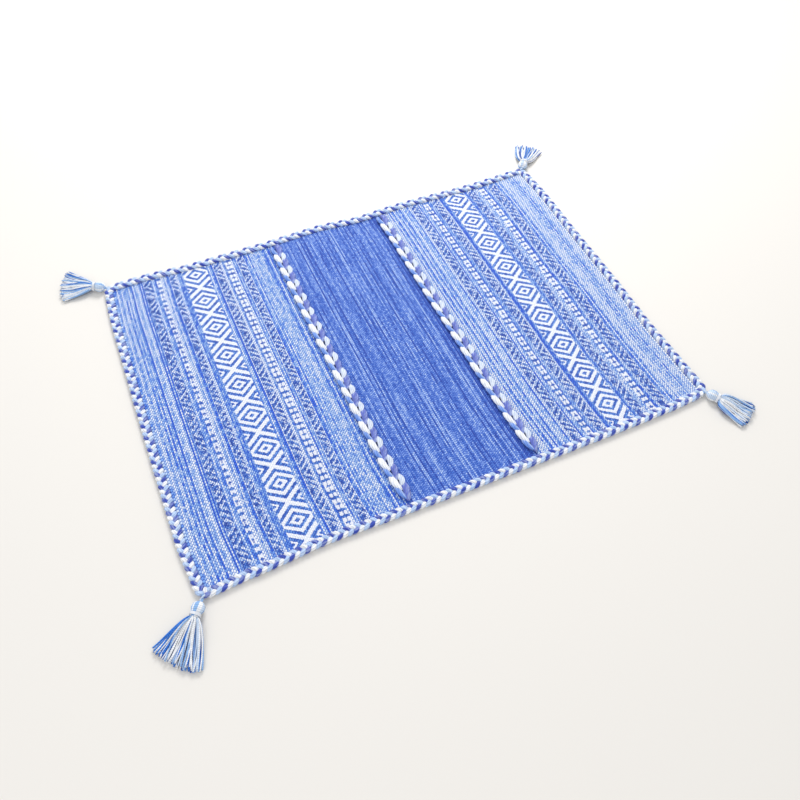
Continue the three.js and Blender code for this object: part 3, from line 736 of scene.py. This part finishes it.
def plait_length(side_name, half_run, half_across, quarters, corner_arc, cycles, material):
    straight = 2 * (half_run - CORNER_RADIUS)
    start, end = -corner_arc + PLAIT_GAP, straight + corner_arc - PLAIT_GAP
    along = np.linspace(start, end, round((end - start) / PLAIT_STEP))
    middle, outward = border_line(half_run, half_across, quarters, along)
    share = (along - start) / (end - start)
    strands = []
    for strand in range(3):
        phase = 2 * np.pi * (cycles * share + strand / 3)
        flat = middle + outward * (SWING * np.cos(phase))[:, None]
        x, y = lay(flat[:, 0], flat[:, 1])
        z = PLAIT_HEIGHT / 2 + WAVE * np.sin(2 * phase)
        plump = 1 + 0.06 * np.sin(5 * phase / 3 + 7 * strand)
        path = np.stack([x, y, z], axis=-1)
        wide = STRAND_WIDE * plump
        strands.append(tube(path, wide, STRAND_HIGH, 12, strand, plies=4, groove=0.1, lay_length=55))
    points, faces, values = joined(strands)
    points[:, 2] = np.maximum(points[:, 2], ABOVE_FLOOR)
    replaced = [f"border_plait_{side_name}"]
    return new_piece(f"plait_{side_name}", points, faces, values, material, replaced)


plait_yarn = cotton_yarn("plaited_cotton_yarn", ["FFFFFF", "3C52B8", "BCD4F8"], 5, 34, 0.5, "DCE8FC", 0.34)
LONG_SIDE = (PLAIT_HALF_LENGTH, PLAIT_HALF_WIDTH)
SHORT_SIDE = (PLAIT_HALF_WIDTH, PLAIT_HALF_LENGTH)
plait_length("near", *LONG_SIDE, 0, 0.0, 34, plait_yarn)
plait_length("right", *SHORT_SIDE, 1, QUARTER_ARC, 27, plait_yarn)
plait_length("far", *LONG_SIDE, 2, 0.0, 34, plait_yarn)
plait_length("left", *SHORT_SIDE, 3, QUARTER_ARC, 27, plait_yarn)

# %% [markdown]
# ## The heart braids
#
# Two thick braids of soft roving lie on the cloth, one on each side of the dark panel. Their stitches lean
# together like a chain of hearts: a fat white lobe beside a pale one, then a thin blue lobe beside a fat
# lilac one. An array of one stitch would look stamped, so each lobe is a tube of its own, a little unlike the
# others. It starts low at the outside, under the stitch before, and ends on top at the middle.

# %% Lobes of the heart braids
BRAID_HEARTS = 16
BRAID_HALF_RUN = CLOTH_HALF_WIDTH - 1.0
HEART_PITCH = 2 * BRAID_HALF_RUN / BRAID_HEARTS
BRAID_FLOOR = CLOTH_THICK + 0.45
BRAID_HALF_WIDTH = 10.6
BRAID_END = 6  # mm at each end of the braid without a lobe's middle
LOBE_STEPS = 22

# side, half width in mm, length in mm, place in the pitch, tip from the middle in mm, rise in mm, colour
LOBES = [
    (-1, 5.2, 29.0, 0.0, 0.8, 0.7, 0),
    (1, 4.5, 23.5, -0.03, 1.1, 0.7, 1),
    (-1, 3.8, 28.0, 0.45, 0.0, 0.1, 2),
    (1, 5.3, 32.0, 0.46, -1.4, 0.2, 3),
]


def lobe(middle_x, y, side, half_wide, length, tip, rise, kind, random):
    """One leaf-shaped lobe, from its hidden outer start to its point at the braid's middle."""
    t = np.linspace(0, 1, LOBE_STEPS)
    length = length * random.uniform(0.88, 1.1)
    half_wide = half_wide * random.uniform(0.93, 1.05)
    outer = BRAID_HALF_WIDTH - half_wide * 0.92
    across = side * (outer * (1 - t**2.2) + tip * t + 0.9 * np.sin(np.pi * t) - 1.8 * (1 - t) ** 3)
    spot_y = np.clip(y + length * (0.5 - t), -BRAID_HALF_RUN + 1, BRAID_HALF_RUN - 1)
    swell = np.sin(np.pi * (0.1 + 0.82 * t) ** 0.85) ** 0.6
    high = 2.55 * swell * (0.62 + 0.38 * half_wide / 5)
    z = BRAID_FLOOR + high + 0.2 + (2.4 + rise) * t**1.3 * (1 - 0.35 * t)
    x, laid_y = lay(middle_x + across, spot_y)
    apart = np.linspace(0, -1e-3, LOBE_STEPS)  # keeps points apart where the braid's end holds them
    path = np.stack([x, laid_y + apart, z], axis=-1)
    return tube(path, half_wide * swell + 0.3, high + 0.2, 18, kind, 5, 0.13, 90)


def heart_braid(side_name, middle_x, seed, material):
    random = np.random.default_rng(seed)
    lobes = []
    for heart in range(BRAID_HEARTS + 1):
        for side, half_wide, length, place, *rest in LOBES:
            y = BRAID_HALF_RUN - (heart + place) * HEART_PITCH
            if abs(y) > BRAID_HALF_RUN - BRAID_END:
                continue
            lobes.append(lobe(middle_x, y, side, half_wide, length, *rest, random))
    points, faces, values = joined(lobes)
    replaced = [f"heart_braid_{side_name}"]
    return new_piece(f"braid_{side_name}", points, faces, values, material, replaced)


ROVING_COLOURS = ["FFFFFF", "E6EEFC", "6E98EA", "6472C8"]
roving = cotton_yarn("soft_cotton_roving", ROVING_COLOURS, 7, 60, 0.6, "C8D8F8", 0.5)
heart_braid("left", LEFT_BRAID, 3, roving)
heart_braid("right", RIGHT_BRAID, 8, roving)

# %% [markdown]
# ## The tassels
#
# A tassel is a bunch of twisted yarns, doubled over and tied under the fold. The fold makes the round head,
# a thread loop holds it to the rug's corner, and the skirt falls open on the floor. The head is one turned
# form with a groove between its yarns, and every yarn of the skirt is a tube of its own that settles flat.
# Mostly pale yarns lie on top and bluer, darker ones show between them: partly the tassel's own blue yarn,
# partly painted shade under the top yarns. A particle system would scatter the yarns, but here each one has a
# set place in the bunch.

# %% Form of a tassel
# name, signs of x and y, heading and place on the corner in degrees, loop in mm, half width of the skirt's
# end in mm, how the fan opens (1 is straight), whole length in mm, and how much longer one side is in mm
TASSELS = [
    ("near_left", -1, -1, 232, 235, 5.5, 38, 0.8, 92, 5),
    ("near_right", 1, -1, 301, 300, 1.5, 25, 0.4, 77, 0),
    ("far_left", -1, 1, 151, 135, 1.5, 36, 0.9, 81, -6),
    ("far_right", 1, 1, 49, 48, 1.5, 27, 0.5, 77, 0),
]
TASSEL_AXIS = 8.4  # height of its middle line at the head
HEAD_LENGTH, HEAD_STEPS = 21.5, 34
HEAD_PLACES = [0, 1.5, 5.5, 10.5, 14.5, 16.3, 19.5, HEAD_LENGTH]
# half width and half height of the head at these places
HEAD_WIDE = list(zip(HEAD_PLACES, [1.8, 6.0, 8.9, 9.2, 7.8, 6.4, 6.3, 7.4]))
HEAD_HIGH = list(zip(HEAD_PLACES, [1.8, 5.5, 7.9, 8.3, 7.3, 6.4, 6.3, 7.0]))
HEAD_YARNS = 18
THREAD_HALF = 1.35  # half the thickness of the loop's threads
SKIRT_YARNS = 104
SKIRT_START = 20.5  # from the head's top, just inside its lower rim
ROOT_WIDE, ROOT_HIGH, ROOT_LEAN = 5.6, 5.2, 1.2  # half sizes of the bunch there, and how fast it opens
YARN_HALF = 1.15
YARN_STEPS = 15
YARN_COLOURS = ["FCFDFF", "98C2F4", "2E7EE0", "1C54B4", "D2E4FA"]
UPPER_SHARES = [0.43, 0.24, 0.15, 0.04, 0.14]  # share of each colour among the yarns that lie on top
# the yarns below are bluer and darker: partly the tassel's own blue yarn, partly painted shade under the top
# yarns
LOWER_SHADED_SHARES = [0.16, 0.22, 0.38, 0.19, 0.05]


def head_and_loop(loop, random):
    """The round head with its yarn grooves, and the twisted loop that holds it to the plait."""
    along = np.linspace(0, HEAD_LENGTH, HEAD_STEPS)
    path = np.stack([loop + along, 0 * along, np.full_like(along, TASSEL_AXIS)], axis=-1)
    sides = HEAD_YARNS * 4
    colours = np.repeat(random.choice([0, 1, 4], HEAD_YARNS, p=[0.3, 0.25, 0.45]), 4)
    wide, high = between(HEAD_WIDE, along), between(HEAD_HIGH, along)
    head = tube(path, wide, high, sides, colours, plies=HEAD_YARNS, groove=0.1, lay_length=400)
    threads = []
    for side in (-1, 1):
        t = np.linspace(0, 1, 16)
        x = -5 + (loop + 8) * t  # from 5 mm inside the plait to 3 mm inside the head
        y = side * 1.3 * np.cos(1.5 * np.pi * t)
        z = TASSEL_AXIS - 0.6 + side * 1.1 * np.sin(1.5 * np.pi * t)
        colour = 4 if side > 0 else 1
        threads.append(tube(np.stack([x, y, z], axis=-1), THREAD_HALF, THREAD_HALF, 8, colour))
    return [head, *threads]


def skirt(loop, spread, swell, length, skew, random):
    """Yarns that leave the tied neck as a bunch, swell out, fan and settle on the floor."""
    t = np.linspace(0, 1, YARN_STEPS)
    root = loop + SKIRT_START
    radius = np.sqrt(random.uniform(0, 1, SKIRT_YARNS))
    turn = random.uniform(0, 2 * np.pi, SKIRT_YARNS)
    across, level = radius * np.cos(turn), radius * np.sin(turn)
    rank = np.argsort(np.argsort(across)) / (SKIRT_YARNS - 1) * 2 - 1
    yarns = []
    for yarn in range(SKIRT_YARNS):
        place = np.clip(0.93 * rank[yarn] + random.normal(0, 0.08), -1.02, 1.02)
        fan = (spread - 6.5) * place  # the rest of the spread is the bunch's own width
        whole = length - root + skew * place - random.uniform(0, 6)
        reach = np.sqrt(whole**2 - fan**2)
        wander = random.normal(0, 1.8) * np.sin(np.pi * t * random.uniform(0.8, 1.4))
        x = root + reach * t
        y = ROOT_WIDE * across[yarn] + fan * t**swell + ROOT_LEAN * place * np.minimum(t * 6, 1) + wander
        rest = YARN_HALF + 0.15 + 3.1 * (level[yarn] + 1) * random.uniform(0.7, 1)
        puff = 2.0 * max(level[yarn], 0) * np.sin(np.pi * np.minimum(t * 1.6, 1))
        settle = np.sin(t * np.pi / 2) ** 1.1
        z = (TASSEL_AXIS + ROOT_HIGH * level[yarn]) * (1 - settle) + rest * settle + puff
        z = np.maximum(z, YARN_HALF + 0.1)
        # painted shade in part: yarns that lie low get the bluer, darker shares
        colour = random.choice(5, p=UPPER_SHARES if level[yarn] > 0.1 else LOWER_SHADED_SHARES)
        half = YARN_HALF * random.uniform(0.85, 1.1) * (1 - 0.12 * t)
        yarns.append(tube(np.stack([x, y, z], axis=-1), half, half, 6, colour))
    return yarns


# %% Place the tassels at the corners
CORNER_GAP = 0.3  # mm between the plait and where the tassel's own length starts


def at_corner(points, sign_x, sign_y, heading_degrees, from_degrees):
    """Turns a tassel made along +X and moves it to its place on the plait's round corner."""
    radius, start = CORNER_RADIUS + PLAIT_WIDTH / 2, np.radians(from_degrees)
    x = sign_x * (LENGTH / 2 - radius) + radius * np.cos(start)
    y = sign_y * (WIDTH / 2 - radius) + radius * np.sin(start)
    x, y = lay(np.array([x]), np.array([y]))
    cos, sin = np.cos(np.radians(heading_degrees)), np.sin(np.radians(heading_degrees))
    turned = points @ np.array([[cos, sin, 0], [-sin, cos, 0], [0, 0, 1]])
    return turned + [x[0] + CORNER_GAP * cos, y[0] + CORNER_GAP * sin, 0]


tassel_yarn = cotton_yarn("twisted_tassel_cotton", YARN_COLOURS, 2, 5.5, 0.45)
tie_thread = cotton_yarn("white_tie_thread", ["F8FAFF"], 2, 2.6, 0.2)
for seed, (name, sign_x, sign_y, heading, start, loop, *form) in enumerate(TASSELS):
    random = np.random.default_rng(20 + seed)
    points, faces, values = joined(head_and_loop(loop, random) + skirt(loop, *form, random))
    points[:, 2] = np.maximum(points[:, 2], ABOVE_FLOOR)
    points = at_corner(points, sign_x, sign_y, heading, start)
    new_piece(f"yarns_{name}", points, faces, values, tassel_yarn, [f"tassel_{name}"])

# %% [markdown]
# ## The ties
#
# White thread is wound five times round the neck under each head. A torus would be one smooth ring, so the
# tie is one long thread on a tight helix, which shows its turns.

# %% Wind the ties
TIE_TURNS = 5
TIE_STEPS = 36  # in each turn
TIE_PITCH = 0.72
TIE_PLACE = 17.9  # from the head's top
TIE_HALF = 0.52
TIE_RADIUS = 7.3


def wound_path(loop):
    """The thread's middle line: a tight helix round the neck."""
    t = np.linspace(0, 1, TIE_TURNS * TIE_STEPS)
    angle = 2 * np.pi * TIE_TURNS * t
    along = loop + TIE_PLACE + (t - 0.5) * TIE_TURNS * TIE_PITCH
    return np.stack([along, TIE_RADIUS * np.cos(angle), TASSEL_AXIS + TIE_RADIUS * np.sin(angle)], axis=-1)


def ring_tube(path, half, sides):
    """A closed tube whose rings face along the rug, for a thread that winds round the X axis."""
    centre = np.array([0, 0, TASSEL_AXIS])
    out = (path - centre) * [0, 1, 1]
    out /= np.linalg.norm(out, axis=1, keepdims=True)
    points, quads, values, caps, cap_values = tube(path, half, half, sides, 0)
    angle = 2 * np.pi * np.arange(sides) / sides
    ahead = np.array([1.0, 0, 0])
    round_ring = np.cos(angle)[None, :, None] * ahead + np.sin(angle)[None, :, None] * out[:, None]
    rings = path[:, None] + half * round_ring
    values = values.reshape(-1, 4, 3)[:, ::-1].reshape(-1, 3)
    return rings.reshape(-1, 3), quads[:, ::-1], values, [cap[::-1] for cap in caps], cap_values


for name, sign_x, sign_y, heading, start, loop, *_ in TASSELS:
    points, faces, values = joined([ring_tube(wound_path(loop), TIE_HALF, 7)])
    points = at_corner(points, sign_x, sign_y, heading, start)
    new_piece(f"wound_{name}", points, faces, values, tie_thread, [f"tie_{name}"])

# %% [markdown]
# ## Floor, light and camera
#
# A pale floor and broad, soft light from the far side, so that the beads and the plait throw short shadows
# towards the viewer. The camera stands at the photograph's viewing angle.

# %% Pale floor
floor_mesh = bpy.data.meshes.new("floor")
floor_mesh.from_pydata([(-6, -6, 0), (6, -6, 0), (6, 6, 0), (-6, 6, 0)], [], [(0, 1, 2, 3)])
floor = bpy.data.objects.new("floor", floor_mesh)
bpy.context.scene.collection.objects.link(floor)
floor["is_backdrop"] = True
floor_paint = bpy.data.materials.new("pale_floor")
floor_paint.use_nodes = True
floor_paint.node_tree.nodes["Principled BSDF"].inputs["Base Color"].default_value = linear("E9E4DC")
floor_paint.node_tree.nodes["Principled BSDF"].inputs["Roughness"].default_value = 0.6
floor_mesh.materials.append(floor_paint)
print("floor", floor.dimensions[0], "m wide")

# %% Soft studio light
world = bpy.data.worlds.new("studio")
world.use_nodes = True
world.node_tree.nodes["Background"].inputs["Color"].default_value = linear("F2F5FA")
world.node_tree.nodes["Background"].inputs["Strength"].default_value = 0.84
bpy.context.scene.world = world
bpy.context.scene.view_settings.view_transform = "Standard"


def soft_light(name, place, target, size, power):
    """A square area light that faces a target."""
    data = bpy.data.lights.new(name, "AREA")
    data.size, data.energy = size, power
    light = bpy.data.objects.new(name, data)
    facing = np.array(target, float) - np.array(place, float)
    facing /= np.linalg.norm(facing)
    side = np.cross(facing, [0, 0, 1])
    side /= np.linalg.norm(side)
    over = np.cross(side, facing)
    columns = np.stack([side, over, -facing, place], axis=-1)
    light.matrix_world = Matrix([*columns.tolist(), [0, 0, 0, 1]])
    bpy.context.scene.collection.objects.link(light)
    print(name, "light:", power, "W,", size, "m wide")


soft_light("key", (0.7, 1.7, 1.7), (0, 0, 0), 0.9, 40)
soft_light("fill", (-1.6, -1.4, 1.9), (0, 0, 0), 1.6, 9)

# %% Camera at the photograph's viewing angle
# worked out from the rug's four corners in the photograph, in metres and degrees
CAMERA_PLACE = (-0.3256, -0.7252, 0.9741)
HEADING = -25.2564  # from +Y, counted to the left
TILT = 34.7515  # up from looking straight down
ROLL = 1.734

camera_data = bpy.data.cameras.new("camera")
camera_data.sensor_width = 36
camera_data.lens = 33.77
camera = bpy.data.objects.new("camera", camera_data)
heading = Matrix.Rotation(np.radians(HEADING), 4, "Z")
tilt = Matrix.Rotation(np.radians(TILT), 4, "X")
roll = Matrix.Rotation(np.radians(ROLL), 4, "Z")
camera.matrix_world = Matrix.Translation(CAMERA_PLACE) @ heading @ tilt @ roll
bpy.context.scene.collection.objects.link(camera)
bpy.context.scene.camera = camera
print("camera", CAMERA_PLACE[2], "m above the floor, lens", round(camera_data.lens, 2), "mm")

# %% [markdown]
# ## Sizes and finish
#
# The soft pieces may stand a little proud of the solids. Both boxes are printed so that they can be compared.

# %% Print both boxes and finish
dressed_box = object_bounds()
for label, box in (("solids", cad_box), ("dressed", dressed_box)):
    print(label, [[round(v, 4) for v in corner] for corner in box])
